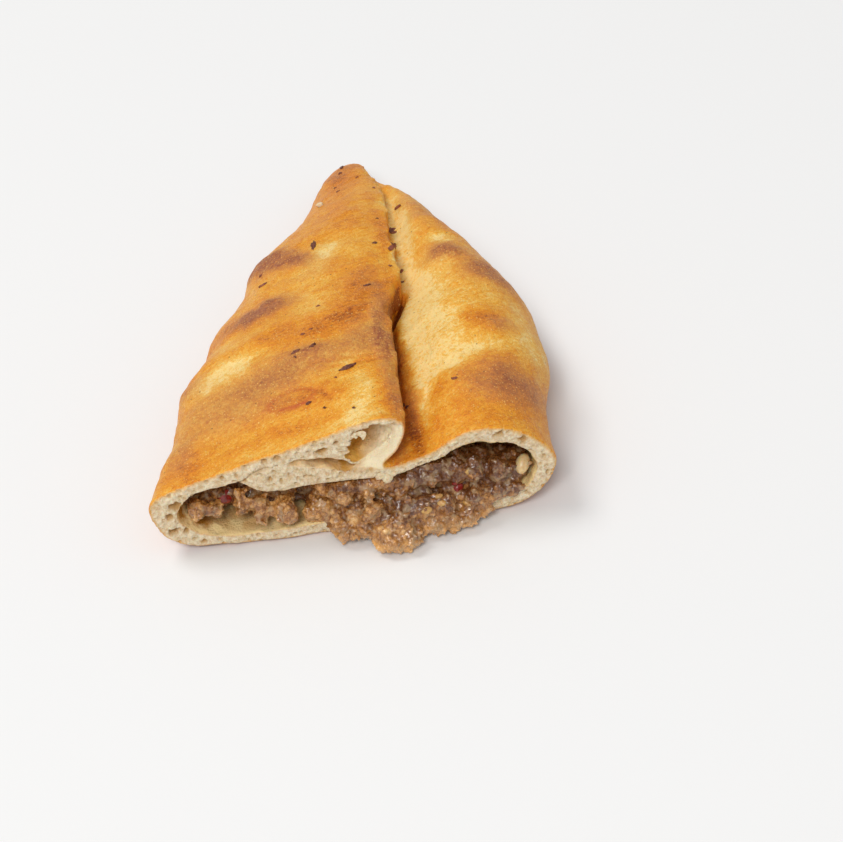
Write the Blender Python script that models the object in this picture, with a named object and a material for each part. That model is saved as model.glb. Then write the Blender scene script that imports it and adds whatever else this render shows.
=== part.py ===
"""One cut half of a folded, meat-filled manakish, lying on its flat underside.

The bread is one sheet of dough: its left flap is folded over the right one
and ends in a hollow roll at the seam.  The flatbread runs to a blunt point at
+Y, and the knife cut faces -Y, where the minced meat shows and spills out.
+X is to the right along the cut, +Z is up, and the origin is on the floor,
in the flat of the base.
"""
import math
import random

import bmesh
import bpy
from mathutils import Matrix, Vector, noise
from mathutils.bvhtree import BVHTree

MM = 0.001

# ---- driving dimensions, in millimetres --------------------------------
LENGTH = 173.0           # cut face to point
CUT_Y = -80.0            # the plane of the cut, from the origin
FLOOR_WALL = 4.5         # baked dough under the filling
GAP = 0.45               # air between the filling and the bread
POCKET_DEPTH = 140.0     # how far the filling reaches towards the point

# Each curve gives a size at a distance from the cut: (distance, size).
LEFT_EDGE = ((0, -58), (14, -53.5), (27, -48.5), (40, -46.5), (52, -43.5),
             (62, -37), (76, -33), (90, -24), (100, -21), (110, -17),
             (121, -8.2), (134, -0.2), (146, 4.8), (156, 8.3), (164, 11.0), (173, 16))
RIGHT_EDGE = ((0, 62), (14, 62), (26, 63.5), (40, 67.5), (52, 67), (66, 66.5),
              (80, 62.5), (98, 55.5), (112, 49.5), (125, 44), (138, 40),
              (149, 33.7), (157, 30.2), (165, 28.2), (173, 26.3))
SEAM = ((0, 17.7), (14, 18.2), (28, 18.8), (50, 20.3), (60, 20.8), (67, 23.5),
        (74, 26.3), (95, 26.6), (105, 26.4), (122, 28.2), (135, 29), (148, 27.6),
        (160, 26.3), (173, 23.8))
FLAP_HEIGHT = ((0, 41.5), (30, 40.5), (60, 38), (90, 34), (120, 28.5),
               (145, 21.5), (160, 16.5), (173, 11))
VALLEY_HEIGHT = ((0, 22.5), (18, 24.2), (45, 27), (75, 27), (110, 24),
                 (140, 17.6), (160, 11.0), (173, 8.5))
LOBE_HEIGHT = ((0, 32.6), (25, 34.5), (60, 35.5), (90, 33), (120, 27.5),
               (145, 18.8), (160, 11.6), (173, 9.0))
SIDE_HEIGHT = ((0, 16.5), (60, 16), (110, 13), (145, 9.5), (173, 5.5))
ROLL_REACH = 26.0        # how far back the flap's edge is tucked under itself
FOOT_SHARE = 0.125       # how far the rounded side runs under, of the width

# The flap's rise from the left side to the seam, and the lobe's from the
# seam to the right side: (share of the width, share of the height).
FLAP_AT_CUT = ((0.022, 0.51), (0.07, 0.56), (0.17, 0.62), (0.29, 0.68),
               (0.41, 0.765), (0.56, 0.83), (0.71, 0.91), (0.83, 0.98),
               (0.92, 1.0))
FLAP_BEHIND = ((0.03, 0.54), (0.09, 0.65), (0.18, 0.74), (0.29, 0.82),
               (0.41, 0.885), (0.56, 0.95), (0.71, 0.99), (0.83, 1.0),
               (0.92, 0.975))
LOBE_AT_CUT = ((0.06, 0.75), (0.165, 0.80), (0.30, 0.92), (0.43, 1.0),
               (0.56, 0.99), (0.70, 0.94), (0.84, 0.82), (0.94, 0.67))
LOBE_BEHIND = ((0.07, 0.79), (0.17, 0.86), (0.30, 0.95), (0.43, 1.0),
               (0.56, 1.0), (0.70, 0.95), (0.84, 0.83), (0.94, 0.68))
BLEND_REACH = 55.0       # where the shape at the cut has given way

# The rounded left side from the base up, and the right one down to the base:
# (share of the foot, share of the side's height).
LEFT_FOOT = ((1.25, 0.0), (0.48, 0.16), (0.17, 0.50), (0.0, 1.0))
RIGHT_FOOT = ((0.0, 1.0), (0.11, 0.63), (0.34, 0.36), (0.70, 0.13), (1.15, 0.0))
# The flap's edge over the seam, down to the valley: (offset from the seam,
# further offset where it is tucked under, share of the step's height).
SEAM_LIP = ((-0.4, 0.0, 0.86), (0.1, 0.0, 0.64), (0.0, -2.7, 0.28),
            (0.0, -7.4, 0.08), (0.6, -7.0, 0.0))
VALLEY_LINE = (1.6, -1.6, 0.05)

# Where the crust's sections lie: close together at the cut, then evenly.
FIRST_STATIONS = (0.0, 4.0, 9.0, 14.5, 20.0)
STATION_STEP = 5.8
POINT_RINGS = ((0.8, 0.80), (0.0, 0.42))   # (before the point, share of its size)
POINT_DROOP = 0.45       # height of the point's middle, of its section's

# The mouth of the pocket at the cut, as (x, z), from its left end over the
# folded edge of the lower layer and the arched lobe to its right end.
POCKET_MOUTH = ((-50.0, 12.0), (-48.0, 18.5), (-43.5, 22.0), (-36.5, 22.8),
                (-31.0, 24.0), (-27.0, 21.0), (-21.5, 18.9), (-8.0, 19.4),
                (5.0, 19.0), (14.5, 19.1), (22.0, 21.4), (28.0, 24.4),
                (33.5, 28.0), (41.5, 28.0), (49.0, 25.2), (55.2, 18.5),
                (54.4, 11.0), (49.0, 6.4))
POCKET_FLOOR = ((38.0, 5.0), (12.0, 4.8), (-12.0, 4.5), (-32.0, 3.6), (-44.0, 5.8))
POCKET_STATIONS = (-3.0, 2.0, 7.0, 14.0, 24.0, 36.0, 50.0, 66.0, 84.0, 102.0,
                   118.0, 130.0, POCKET_DEPTH)
POCKET_CLOSES = 0.55     # the share of its depth from which the pocket narrows
POCKET_END_HEIGHT = 0.52
POCKET_END_WIDTH = 0.62

# The slit between the flap and the layer under it, as (x, z) at the cut.
SLIT_MOUTH = ((-23.0, 28.2), (-18.0, 29.3), (-13.0, 30.0), (-7.0, 29.5),
              (-2.0, 28.2), (1.5, 25.2), (6.5, 23.0), (2.0, 22.3),
              (-2.5, 24.2), (-8.0, 25.8), (-14.5, 28.2))
SLIT_DEPTH = 22.0
SLIT_STATIONS = (-2.0, 1.5, 6.0, 11.0, 17.0, SLIT_DEPTH)
SLIT_MIDDLE = (-8.0, 27.2)
SLIT_END_SIZE = (0.65, 0.15)   # its last ring's width and height, of the first's

# The air bubble in the roll at the flap's edge.
BUBBLE_CENTRE = (7.0, 32.2)
BUBBLE_RADII = (8.0, 5.9)
BUBBLE_DEPTH = 15.0
BUBBLE_TILT = math.radians(36)
BUBBLE_STATIONS = (-2.0, 1.5, 4.0, 6.5, 9.0, 12.0, 14.0, BUBBLE_DEPTH)
BUBBLE_SIDES = 22

# Dark herb flakes baked on the crust: (x, distance, length, width, turn).
FLAKES = ((2.6, 100.5, 6.0, 1.5, 80), (5.0, 27.5, 5.6, 1.5, 15),
          (28.8, 112.0, 3.0, 2.4, 10), (27.9, 101.8, 3.0, 2.4, 60),
          (26.2, 91.0, 2.6, 1.8, 60), (-14.8, 88.5, 3.4, 1.8, 25),
          (-8.7, 106.0, 3.0, 1.4, 110), (-9.2, 39.3, 3.0, 1.8, 20),
          (-4.0, 39.6, 2.5, 1.4, 20), (1.3, 57.8, 2.3, 1.3, 30),
          (32.8, 124.5, 3.4, 1.6, -30), (15.8, 68.2, 2.6, 1.6, 20),
          (18.4, 164.0, 4.2, 1.5, 80), (35.5, 23.3, 2.2, 1.7, -20),
          (-8.0, 16.6, 2.4, 1.3, 20), (50.5, 43.5, 2.2, 1.4, 30))
FLAKE_HEIGHT = 0.8

# The filling: its core, the lumps of mince over it, and what spills out.
CORE_INSET = 3.2 * GAP
CORE_STATIONS = (0.0, 6.0, 14.0, 26.0, 44.0, 64.0, 84.0, 104.0, 122.0,
                 POCKET_DEPTH - 2.0)
CORE_FRONT = (9.0, 2.5)  # bare core behind the cut, at the left and the right
CORE_LEANS_TO = 60.0     # where the core's sections stand upright again
FREE_TOP = (21.5, 15.5)  # free height in the arched lobe, sloping to the right
FREE_TOP_FROM = 18.0     # the x where the filling no longer meets the layer above
FACE_ROWS = (8.6, 15.0)  # heights of the packed lumps at the cut
TOP_ROWS = (8.0, 16.0)   # distances of the lumps on the free top
# The spill over the bottom edge: (x, distance, height, radius).
SPILL = ((-4.5, -1.0, 5.0, 3.2), (-1.0, -3.6, 3.4, 3.2), (3.5, -3.0, 4.0, 3.6),
         (6.5, -3.2, 9.0, 3.8), (9.5, -7.0, 4.4, 3.9), (10.8, -10.6, 3.2, 3.2),
         (14.0, -6.6, 8.0, 4.0), (15.5, -8.4, 3.8, 3.6), (19.0, -4.6, 4.2, 3.8),
         (20.5, -3.0, 10.0, 4.0), (24.5, -4.8, 3.8, 3.6), (28.0, -3.0, 8.6, 3.8),
         (29.5, -4.2, 3.8, 3.5), (34.5, -3.6, 4.4, 3.4), (36.0, -1.4, 9.6, 3.6),
         (39.5, -1.6, 5.8, 3.2), (44.5, 0.2, 8.0, 3.0))
YARD = (-62.0, 62.0, 46.0, 30.0)   # left, right, top and reach before the cut
YARD_FLOOR = 0.3         # how far the spill stays above the floor

CRUST = (0.72, 0.42, 0.16, 1.0)
MEAT = (0.30, 0.20, 0.13, 1.0)


# ---- curves ------------------------------------------------------------
def catmull_rom(a, b, c, d, t):
    """Point at t between b and c, for numbers or vectors."""
    return 0.5 * ((2 * b) + (c - a) * t + (2 * a - 5 * b + 4 * c - d) * t * t
                  + (3 * b - a - 3 * c + d) * t ** 3)


def size_at(curve, distance):
    """Read one of the curves above at a distance from the cut."""
    last = len(curve) - 1
    for i in range(last):
        if distance <= curve[i + 1][0] or i == last - 1:
            (x0, y0), (x1, y1) = curve[i], curve[i + 1]
            t = (distance - x0) / (x1 - x0)
            before = curve[max(i - 1, 0)][1]
            after = curve[min(i + 2, last)][1]
            return catmull_rom(before, y0, y1, after, min(max(t, 0.0), 1.0))


def closed_spline(keys, steps):
    """A smooth closed ring through the key points, steps[i] after key i."""
    keys = [Vector(k) for k in keys]
    count = len(keys)
    ring = []
    for i in range(count):
        a, b, c, d = (keys[(i + k) % count] for k in (-1, 0, 1, 2))
        ring += [catmull_rom(a, b, c, d, j / steps[i]) for j in range(steps[i])]
    return ring


def ease(t):
    t = min(max(t, 0.0), 1.0)
    return t * t * (3 - 2 * t)


def mix(a, b, t):
    return a + (b - a) * t


# ---- sections of the bread ---------------------------------------------
def outer_section(s):
    """The ring of the crust at distance s from the cut, as (x, z)."""
    left, right, seam = (size_at(c, s) for c in (LEFT_EDGE, RIGHT_EDGE, SEAM))
    flap, valley, lobe, side = (size_at(c, s) for c in (
        FLAP_HEIGHT, VALLEY_HEIGHT, LOBE_HEIGHT, SIDE_HEIGHT))
    behind = ease(s / BLEND_REACH)
    tuck = 1.0 - ease(s / ROLL_REACH)
    foot = FOOT_SHARE * (right - left)
    lip = flap - valley

    keys = [(left + u * foot, h * side) for u, h in LEFT_FOOT]
    for (u0, h0), (u1, h1) in zip(FLAP_AT_CUT, FLAP_BEHIND):
        keys.append((mix(left, seam, mix(u0, u1, behind)),
                     flap * mix(h0, h1, behind)))
    keys += [(seam + dx + tucked * tuck, valley + h * lip)
             for dx, tucked, h in SEAM_LIP]
    dx, tucked, h = VALLEY_LINE
    keys.append((seam + dx + tucked * tuck, valley + h * lip * tuck))
    for (u0, h0), (u1, h1) in zip(LOBE_AT_CUT, LOBE_BEHIND):
        keys.append((mix(seam, right, mix(u0, u1, behind)),
                     lobe * mix(h0, h1, behind)))
    keys += [(right - u * foot, h * side) for u, h in RIGHT_FOOT]
    steps = [1] * (len(LEFT_FOOT) - 1)
    steps += [2] * (len(keys) - len(LEFT_FOOT) - len(RIGHT_FOOT) + 1)
    steps += [1] * len(RIGHT_FOOT)
    # The base runs flat from the last key, the right foot, to the first.
    return [Vector((p.x, max(p.y, 0.0))) for p in closed_spline(keys, steps)]


def pocket_section(s, inset=0.0):
    """The ring of the pocket at distance s, drawn in by inset."""
    closing = ease((s / POCKET_DEPTH - POCKET_CLOSES) / (1.0 - POCKET_CLOSES))
    left, right = size_at(LEFT_EDGE, s), size_at(RIGHT_EDGE, s)
    left0, right0 = LEFT_EDGE[0][1], RIGHT_EDGE[0][1]
    height = min(size_at(VALLEY_HEIGHT, s) / VALLEY_HEIGHT[0][1], 1.0)
    height = mix(height, POCKET_END_HEIGHT, closing)
    middle = 0.5 * (left + right)
    narrow = mix(1.0, POCKET_END_WIDTH, closing)

    def place(x, z):
        share = (x - left0) / (right0 - left0)
        wide = mix(left, right, share)
        return (mix(middle, wide, narrow), mix(FLOOR_WALL, z, height))

    keys = [place(x, z) for x, z in POCKET_MOUTH]
    keys += [place(x, z) for x, z in POCKET_FLOOR]
    steps = [2] * (len(POCKET_MOUTH) - 1) + [1] * (len(POCKET_FLOOR) + 1)
    ring = closed_spline(keys, steps)
    if inset:
        count = len(ring)
        moved = []
        for i, p in enumerate(ring):
            along = (ring[(i + 1) % count] - ring[i - 1]).normalized()
            moved.append(p + Vector((along.y, -along.x)) * inset)
        ring = moved
    return ring


# ---- meshes ------------------------------------------------------------
def material(name, colour, roughness):
    mat = bpy.data.materials.new(name)
    mat.use_nodes = True
    shader = mat.node_tree.nodes["Principled BSDF"]
    shader.inputs["Base Color"].default_value = colour
    shader.inputs["Roughness"].default_value = roughness
    shader.inputs["Metallic"].default_value = 0.0
    return mat


def loft(name, rings):
    """A closed body through rings of (x, distance from the cut, z), in mm."""
    mesh = bpy.data.meshes.new(name)
    bm = bmesh.new()
    loops = []
    for ring in rings:
        loops.append([bm.verts.new((x * MM, (CUT_Y + s) * MM, z * MM))
                      for x, s, z in ring])
    count = len(loops[0])
    for near, far in zip(loops, loops[1:]):
        for i in range(count):
            j = (i + 1) % count
            bm.faces.new((near[i], near[j], far[j], far[i]))
    for loop in (loops[0], loops[-1]):
        bm.faces.new(loop)
    bmesh.ops.triangulate(bm, faces=bm.faces)
    bmesh.ops.recalc_face_normals(bm, faces=bm.faces)
    bm.to_mesh(mesh)
    bm.free()
    obj = bpy.data.objects.new(name, mesh)
    bpy.context.collection.objects.link(obj)
    return obj


def combine(obj, operation, others):
    """Join others to obj, cut them from it, or keep what both share."""
    for other in others:
        mod = obj.modifiers.new(operation.lower(), "BOOLEAN")
        mod.operation = operation
        mod.solver = "MANIFOLD"
        mod.object = other
        bpy.context.view_layer.objects.active = obj
        bpy.ops.object.modifier_apply(modifier=mod.name)
        bpy.data.objects.remove(other, do_unlink=True)


def tidy_body(obj, flat=0.05):
    """Drop loose scraps and sealed hollows, and join faces that differ in
    direction by less than flat degrees."""
    bm = bmesh.new()
    bm.from_mesh(obj.data)
    islands, seen = [], set()
    for start in bm.verts:
        if start in seen:
            continue
        island, stack = [], [start]
        seen.add(start)
        while stack:
            vert = stack.pop()
            island.append(vert)
            for edge in vert.link_edges:
                other = edge.other_vert(vert)
                if other not in seen:
                    seen.add(other)
                    stack.append(other)
        islands.append(island)
    islands.sort(key=len)
    scraps = [vert for island in islands[:-1] for vert in island]
    bmesh.ops.delete(bm, geom=scraps, context="VERTS")
    bmesh.ops.dissolve_limit(bm, angle_limit=math.radians(flat),
                             verts=bm.verts, edges=bm.edges)
    bmesh.ops.triangulate(bm, faces=bm.faces, quad_method="BEAUTY",
                          ngon_method="BEAUTY")
    bm.to_mesh(obj.data)
    bm.free()


def waviness(x, s, z):
    """The uneven swell of the crust, in mm; none at the cut or the floor."""
    swell = noise.noise(Vector((x / 26.0, s / 30.0, z / 40.0)) + Vector((3, 7, 1)))
    ripple = noise.noise(Vector((x / 11.0, s / 12.0, 0.0)) + Vector((9, 2, 5)))
    return (1.5 * swell + 0.6 * ripple) * ease(s / 18.0) * ease((z - 8.0) / 10.0)


# ---- start with nothing ------------------------------------------------
for obj in list(bpy.data.objects):
    bpy.data.objects.remove(obj, do_unlink=True)

# ---- bread: one folded sheet, open at the cut --------------------------
stations = list(FIRST_STATIONS)
while stations[-1] < LENGTH - STATION_STEP - 4.0:
    stations.append(stations[-1] + STATION_STEP)
stations.append(LENGTH - 3.0)
rings = []
for s in stations:
    fade = ease((LENGTH - s) / 30.0)
    rings.append([(p.x, s, p.y + fade * waviness(p.x, s, p.y))
                  for p in outer_section(s)])
# The blunt point is rounded off by two more rings.
last = outer_section(LENGTH)
centre = sum((p for p in last), Vector((0.0, 0.0))) / len(last)
for before, share in POINT_RINGS:
    rings.append([(mix(centre.x, p.x, share), LENGTH - before,
                   mix(POINT_DROOP * centre.y, p.y, share)) for p in last])
bread = loft("bread", rings)

pocket = loft("pocket", [[(p.x, s, p.y) for p in pocket_section(max(s, 0.0))]
                         for s in POCKET_STATIONS])

# The slit narrows to its deepest line, where the two layers are baked
# together, and leaves out the crease that is too thin to be open.
slit_rings = []
for s in SLIT_STATIONS:
    depth = max(s, 0.0) / SLIT_DEPTH
    wide, high = (mix(1.0, size, depth) for size in SLIT_END_SIZE)
    slit_rings.append([(mix(SLIT_MIDDLE[0], x, wide), s,
                        mix(SLIT_MIDDLE[1], z, high)) for x, z in SLIT_MOUTH])
slit = loft("slit", slit_rings)

# The bubble is half an egg, round at its end and tilted with the roll.
bubble_rings = []
for s in BUBBLE_STATIONS:
    share = math.sqrt(1.0 - (max(s, 0.0) / (BUBBLE_DEPTH + GAP)) ** 2)
    ring = []
    for i in range(BUBBLE_SIDES):
        turn = 2 * math.pi * i / BUBBLE_SIDES
        point = Vector((BUBBLE_RADII[0] * share * math.cos(turn),
                        BUBBLE_RADII[1] * share * math.sin(turn)))
        point = Matrix.Rotation(BUBBLE_TILT, 2) @ point + Vector(BUBBLE_CENTRE)
        ring.append((point.x, s, point.y))
    bubble_rings.append(ring)
bubble = loft("bubble", bubble_rings)
combine(bread, "DIFFERENCE", [pocket, slit, bubble])


def flake(surface, x, s, length, width, turn):
    """A thin uneven chip, sunk a little into the crust under it."""
    y = (CUT_Y + s) * MM
    point, normal, _, _ = surface.ray_cast(Vector((x * MM, y, 0.1)),
                                           Vector((0.0, 0.0, -1.0)))
    bpy.ops.mesh.primitive_cube_add(size=1.0)
    obj = bpy.context.object
    turned = Matrix.Rotation(math.radians(turn), 3, "Z")
    lean = Vector((0.0, 0.0, 1.0)).rotation_difference(normal).to_matrix()
    for vert in obj.data.vertices:
        corner = Vector((vert.co.x * length * random.uniform(0.75, 1.1),
                         vert.co.y * width * random.uniform(0.7, 1.2),
                         (vert.co.z + 0.1) * FLAKE_HEIGHT)) * MM
        vert.co = point + lean @ (turned @ corner)
    return obj


random.seed(7)
bm = bmesh.new()
bm.from_mesh(bread.data)
crust_surface = BVHTree.FromBMesh(bm)
bm.free()
combine(bread, "UNION", [flake(crust_surface, *row) for row in FLAKES])
tidy_body(bread)
bread.data.materials.append(material("baked_crust", CRUST, 0.55))
bread.data.shade_smooth()
bread.data.set_sharp_from_angle(angle=math.radians(40))

# ---- meat filling: core, lumps at the cut, and the spill ---------------
random.seed(20)


def core_front(x):
    """How far behind the cut the bare core stops at x."""
    return mix(*CORE_FRONT, ease((x + 20.0) / 16.0))


def meat_top(x, s):
    """The free height of the filling in the arched lobe."""
    slope = mix(*FREE_TOP, ease((x - FREE_TOP_FROM) / 34.0))
    return slope + 1.2 * noise.noise(Vector((x / 8.0, s / 8.0, 2.0)))


core_rings = []
for s in CORE_STATIONS:
    ring = []
    for p in pocket_section(s, inset=CORE_INSET):
        z = p.y
        if p.x > FREE_TOP_FROM:
            z = max(min(z, meat_top(p.x, s)), FLOOR_WALL + CORE_INSET)
        behind = s + core_front(p.x) * (1.0 - ease(s / CORE_LEANS_TO))
        ring.append((p.x, behind, z))
    core_rings.append(ring)
meat = loft("meat_filling", core_rings)


def lump(x, s, z, radius):
    """One lump of mince: a dented ball, a little longer one way."""
    bpy.ops.mesh.primitive_ico_sphere_add(subdivisions=2, radius=radius * MM)
    obj = bpy.context.object
    stretch = Vector((random.uniform(0.8, 1.25), random.uniform(0.8, 1.15),
                      random.uniform(0.75, 1.1)))
    offset = Vector((random.uniform(0, 50), random.uniform(0, 50), 0.0))
    for vert in obj.data.vertices:
        way = vert.co.normalized()
        dent = 1.0 + 0.38 * noise.noise(way * 1.5 + offset)
        vert.co = Vector((vert.co.x * stretch.x, vert.co.y * stretch.y,
                          vert.co.z * stretch.z)) * dent
        vert.co += Vector((x, CUT_Y + s, z)) * MM
    return obj


lumps = []
# Single lumps, set back on the open floor of the pocket at the left.
x = -45.0
while x < -12.0:
    radius = random.uniform(4.0, 5.0)
    lumps.append(lump(x, random.uniform(5.5, 8.0), random.uniform(12.0, 14.5), radius))
    lumps.append(lump(x + random.uniform(0, 3), random.uniform(7.0, 9.0),
                      random.uniform(7.6, 9.0), 0.75 * radius))
    x += 1.55 * radius
# The packed face right of them, up to the sloping free top.
for row, height in enumerate(FACE_ROWS):
    x = -10.0 + 3.0 * row
    while x < 50.0 - 3.0 * row:
        lumps.append(lump(x + random.uniform(-0.8, 0.8),
                          random.uniform(0.0, 2.4) + 1.5 * row,
                          height + random.uniform(-0.8, 0.8),
                          random.uniform(3.4, 4.4)))
        x += random.uniform(5.8, 7.2)
# Lumps on the free top inside the lobe.
for s in TOP_ROWS:
    x = 25.0
    while x < 48.0:
        lumps.append(lump(x, s + random.uniform(-1.5, 1.5),
                          meat_top(x, s) - 0.6, random.uniform(2.8, 3.8)))
        x += random.uniform(7.0, 9.0)
for x, s, z, radius in SPILL:
    lumps.append(lump(x, s, z, radius))
combine(meat, "UNION", lumps)
tidy_body(meat)

# What would touch the bread is trimmed to the pocket less the gap, and in
# front of the cut to the space above the floor.
room_stations = (-GAP - 1.0,) + POCKET_STATIONS[1:-1] + (POCKET_DEPTH - 1.0,)
room = loft("room", [[(p.x, s, p.y) for p in pocket_section(max(s, 0.0), inset=GAP)]
                     for s in room_stations])
left, right, top, reach = YARD
yard_ring = ((left, YARD_FLOOR), (right, YARD_FLOOR), (right, top), (left, top))
yard = loft("yard", [[(x, s, z) for x, z in yard_ring] for s in (-reach, -GAP)])
combine(room, "UNION", [yard])
combine(meat, "INTERSECT", [room])
tidy_body(meat, flat=4.0)
meat.data.materials.append(material("minced_meat", MEAT, 0.45))
meat.data.shade_smooth()
meat.data.set_sharp_from_angle(angle=math.radians(50))
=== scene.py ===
"""The looks of one cut half of a folded, meat-filled manakish."""
import math
import random

import bpy
import numpy as np
from mathutils import Matrix, Vector, kdtree
from mathutils.bvhtree import BVHTree


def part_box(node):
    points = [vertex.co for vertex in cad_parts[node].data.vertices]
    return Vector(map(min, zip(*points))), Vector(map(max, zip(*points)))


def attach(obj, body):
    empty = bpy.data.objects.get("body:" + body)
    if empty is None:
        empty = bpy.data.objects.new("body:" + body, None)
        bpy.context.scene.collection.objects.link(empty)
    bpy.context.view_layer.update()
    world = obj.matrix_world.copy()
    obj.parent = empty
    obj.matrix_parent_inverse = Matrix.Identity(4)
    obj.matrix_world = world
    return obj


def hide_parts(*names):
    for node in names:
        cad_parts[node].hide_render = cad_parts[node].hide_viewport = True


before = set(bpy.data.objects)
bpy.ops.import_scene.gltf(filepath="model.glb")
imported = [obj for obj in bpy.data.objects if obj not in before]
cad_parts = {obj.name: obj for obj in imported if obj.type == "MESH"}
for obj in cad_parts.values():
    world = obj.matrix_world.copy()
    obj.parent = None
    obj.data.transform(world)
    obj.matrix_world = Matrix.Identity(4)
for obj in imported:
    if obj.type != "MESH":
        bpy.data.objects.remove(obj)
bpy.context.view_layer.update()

MM = 0.001
CUT_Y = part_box("bread")[0].y        # the plane of the knife cut


# ---- Stage: pale board, soft studio light and the camera -------------------
# A pale matt board, lit by one large soft box high on the left, another in
# front that reaches into the cut, and an even surround, as for a product
# picture on white.
BOARD_SIZE, BOARD_DROP = 6.0, 0.0003        # m
BOARD_WHITE = (0.865, 0.865, 0.865)
SURROUND = 0.40
LAMP_AIM = Vector((0.0, 0.05, 0.02))
# The soft boxes: (name, place, size in m, power in W, colour).
LAMPS = (("key_box", (-1.8, 0.9, 3.5), 1.6, 62.0, (1.0, 0.99, 0.975)),
         ("front_box", (-0.9, -2.6, 3.1), 1.3, 79.0, (1.0, 0.995, 0.985)))
CAMERA_PLACE = (-0.03826, -0.62718, 0.51150)
CAMERA_TURN = (49.321, 2.428, -8.427)       # degrees
CAMERA_LENS, CAMERA_FRAME = 109.31, 36.0    # mm


def put(socket, value):
    """Give an input a value, or wire another node's output to it."""
    if isinstance(value, bpy.types.NodeSocket):
        socket.id_data.links.new(value, socket)
    elif socket.type == "RGBA":
        socket.default_value = (*value, 1.0)
    else:
        socket.default_value = value


def set_inputs(node, **values):
    """Set or wire a node's inputs by name; an underscore stands for a space."""
    for name, value in values.items():
        put(node.inputs[name.replace("_", " ")], value)


bpy.ops.object.select_all(action="DESELECT")
bpy.ops.mesh.primitive_plane_add(size=BOARD_SIZE, location=(0.0, 0.0, -BOARD_DROP))
board = bpy.context.object
board.name = "board"
board_white = bpy.data.materials.new("board_white")
board_white.use_nodes = True
set_inputs(board_white.node_tree.nodes["Principled BSDF"],
           Base_Color=BOARD_WHITE, Roughness=0.85, Specular_IOR_Level=0.1)
board.data.materials.append(board_white)

for name, spot, size, power, colour in LAMPS:
    bpy.ops.object.light_add(type="AREA", location=spot)
    lamp = bpy.context.object
    lamp.name = name
    lamp.data.shape = "SQUARE"
    lamp.data.size = size
    lamp.data.energy = power
    lamp.data.color = colour
    way = LAMP_AIM - Vector(spot)
    lamp.rotation_euler = way.to_track_quat("-Z", "Y").to_euler()

surround = bpy.data.worlds.new("surround")
surround.use_nodes = True
set_inputs(surround.node_tree.nodes["Background"],
           Color=(1.0, 1.0, 1.0), Strength=SURROUND)
bpy.context.scene.world = surround
bpy.context.scene.view_settings.view_transform = "Standard"

bpy.ops.object.camera_add(location=CAMERA_PLACE,
                          rotation=[math.radians(a) for a in CAMERA_TURN])
camera = bpy.context.object
camera.data.lens = CAMERA_LENS
camera.data.sensor_width = CAMERA_FRAME
camera.data.clip_start = 0.01
bpy.context.scene.camera = camera


# ---- Bread: the folded sheet -----------------------------------------------
# One sheet of yeast dough, its left flap folded over the right side, baked flat
# and cut across.  The CAD solid is copied and smoothed, swollen into ridges,
# drawn in under the flap's edge, and opened into crumb at the cut.
VOXEL = 0.90 * MM            # spacing of the finished mesh
CUT_ZONE = 0.9 * MM          # how far behind the cut the mesh is made finer
HIDDEN_FROM = 32.0 * MM      # the pocket is out of sight from here on
HIDDEN_SHARE = 0.12          # how much of the mesh is kept where it is hidden
SHARP = math.radians(55)     # edges bent more than this keep their crease
RIDGE, HOLLOW = 0.9, 0.8     # mm that toasted ridges stand out and pale ones sink
FINE_DEPTH = 0.5             # mm that the fine creases go in
CREVICE_DEPTH = 3.2          # mm
ROOF_DROP = 1.2              # mm
STREAK_TURN = 24.0           # degrees: the way the dough was pulled
# The flap's edge over the right side: (distance from the cut, x), in mm.
SEAM_LINE = ((0, 17.7), (14, 18.2), (28, 18.8), (50, 20.3), (60, 20.8),
             (67, 23.5), (74, 26.3), (95, 26.6), (105, 26.4), (122, 28.2),
             (135, 29), (148, 27.6), (160, 26.3), (173, 23.8))
# How deep the fold is drawn in beside that edge: (distance, depth), in mm.
# Where it is less than nothing, the dough has closed up against the edge.
SEAM_DEPTH = ((0, -0.5), (18, -0.2), (28, 1), (40, 1.9), (66, 2.3), (74, 1.5),
              (80, 0.5), (92, 0.2), (105, -0.3), (122, -0.9), (150, -0.7), (173, 0))

# Patches of colour and relief, each an oval on the crust seen from above:
# (x, distance from the cut, length, width, turn in degrees, strength), in mm.
# Ridges that stood out in the oven's heat and browned first.
TOASTED = ((-9, 99, 25, 9, -32, 1.15), (-14, 105.5, 11, 7, 0, 0.55),
           (-17, 70, 18, 9, 10, 1.45), (-5, 39.5, 12, 5, 10, 0.42),
           (-8, 35, 34, 11, 6, 0.55), (-30, 27, 36, 18, 8, 0.55),
           (-41, 43, 12, 7, -30, 0.5), (-46, 14, 12, 8, 60, 0.45),
           (17.3, 49, 26, 4.5, 88, 0.62), (16, 33, 22, 4.5, 92, 0.54),
           (13, 41, 15, 13, 40, 0.5), (16, 68, 6, 4, 20, 0.6),
           (16.4, 13, 22, 4, 92, 0.42),
           (13.5, 76, 15, 9, 20, 0.14), (42, 87, 12.5, 9.5, 5, 1.05),
           (53, 74, 18, 12, -50, 0.92), (51, 22, 21, 16, -15, 0.86),
           (53, 45, 9, 6, 10, 0.4), (37.5, 118, 22, 8, -80, 0.45),
           (18, 161, 12, 7, 90, 0.24), (10, 158, 18, 4, 80, 0.24),
           (22.5, 22, 18, 4, 88, 0.3), (-28, 85, 18, 7, 62, 0.2),
           (1, 83, 15, 6, 0, 0.18), (62, 88, 30, 7, -62, 0.4))
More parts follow.
